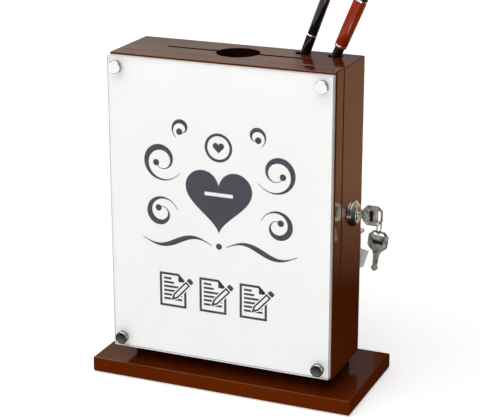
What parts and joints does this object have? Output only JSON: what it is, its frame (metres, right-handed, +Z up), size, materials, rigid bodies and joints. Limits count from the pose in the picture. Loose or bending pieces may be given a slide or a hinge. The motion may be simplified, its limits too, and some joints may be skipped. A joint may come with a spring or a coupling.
{
  "type": "donation box",
  "caption": "Counter-top donation box on a base, with a hinged front door carrying a sheet-size sign, a top slot and hole, a side cam lock with keys, and pens standing in holes.",
  "frame": {"origin": "middle of the base pad's underside, on the surface the box stands on", "axes": "+Z up, -Y to the front where the door and sign face, +X to the right where the lock is"},
  "size_m": [0.2759, 0.1216, 0.4323],
  "materials": {
    "lacquer": "high-gloss dark reddish-brown lacquer on fibreboard, no grain showing",
    "raw_wood": "sawn and sanded, unfinished",
    "hardboard": "satin dark brown hardboard",
    "foam": "matt black cellular foam",
    "white_plastic": "smooth white sheet",
    "printed_paper": "matt white paper with dark violet print",
    "clear_acrylic": "clear polished acrylic",
    "chrome": "polished chrome",
    "steel": "bright zinc-plated steel",
    "nickel": "polished dark nickel",
    "black_gloss": "glossy black",
    "red_gloss": "glossy orange-red"
  },
  "bodies": {
    "cabinet": {"base_board": "lacquer", "base_pad": "foam", "neck_block": "lacquer", "bottom_board": "lacquer", "left_board": "lacquer", "right_board": "lacquer", "top_board": "lacquer", "back_panel": "hardboard", "pen_block": "raw_wood", "lock_body": "chrome", "lock_nut": "steel", "slip_tray": "clear_acrylic", "tray_peg_1": "chrome", "tray_peg_2": "chrome", "lower_hinge_cabinet_leaf": "steel", "upper_hinge_cabinet_leaf": "steel", "lower_hinge_pin": "steel", "upper_hinge_pin": "steel", "base_screw_1": "steel", "base_screw_2": "steel", "base_screw_3": "steel", "base_screw_4": "steel", "back_screw_1": "steel", "back_screw_2": "steel", "back_screw_3": "steel", "back_screw_4": "steel"},
    "door": {"door_board": "lacquer", "sign_backing": "white_plastic", "sign_sheet": "printed_paper", "sign_cover": "clear_acrylic", "sign_cap_lower_left": "chrome", "sign_cap_upper_left": "chrome", "sign_cap_lower_right": "chrome", "sign_cap_upper_right": "chrome", "lower_hinge_door_leaf": "steel", "upper_hinge_door_leaf": "steel", "strike_plate": "steel", "strike_screw_1": "steel", "strike_screw_2": "steel", "sign_stud_1": "steel", "sign_stud_2": "steel", "sign_stud_3": "steel", "sign_stud_4": "steel"},
    "plug": {"lock_plug": "chrome", "lock_cam": "steel", "cam_washer": "steel", "cam_screw": "steel"},
    "key": {"lock_key": "nickel"},
    "ring": {"key_ring": "steel"},
    "hanging_key": {"spare_key": "nickel"},
    "black_pen": {"black_pen_barrel": "black_gloss", "black_pen_band": "chrome", "black_pen_cap": "black_gloss"},
    "red_pen": {"red_pen_grip": "black_gloss", "red_pen_band": "chrome", "red_pen_barrel": "red_gloss", "red_pen_upper_band": "chrome", "red_pen_cap": "black_gloss"}
  },
  "joints": [
    {"name": "door_hinge", "type": "hinge", "parent": "cabinet", "child": "door", "pos_m": [-0.113, -0.03015, 0.173], "axis": [0, 0, -1], "range_deg": [0, 110]},
    {"name": "lock_turn", "type": "hinge", "parent": "cabinet", "child": "plug", "pos_m": [0.1, 0.0021, 0.1744], "axis": [1, 0, 0], "range_deg": [0, 90]},
    {"name": "key_slide", "type": "slide", "parent": "plug", "child": "key", "axis": [1, 0, 0], "range_m": [0, 0.015]},
    {"name": "ring_swing", "type": "hinge", "parent": "key", "child": "ring", "pos_m": [0.1352, 0.0021, 0.16985], "axis": [0, -1, 0], "range_deg": [-10, 40]},
    {"name": "hanging_key_swing", "type": "hinge", "parent": "ring", "child": "hanging_key", "pos_m": [0.1352, 0.0021, 0.15775], "axis": [0, -1, 0], "range_deg": [-12, 40]},
    {"name": "black_pen_lift", "type": "slide", "parent": "cabinet", "child": "black_pen", "axis": [0.3453, 0, 0.9385], "range_m": [0, 0.04]},
    {"name": "red_pen_lift", "type": "slide", "parent": "cabinet", "child": "red_pen", "axis": [0.3907, 0, 0.9205], "range_m": [0, 0.04]}
  ]
}
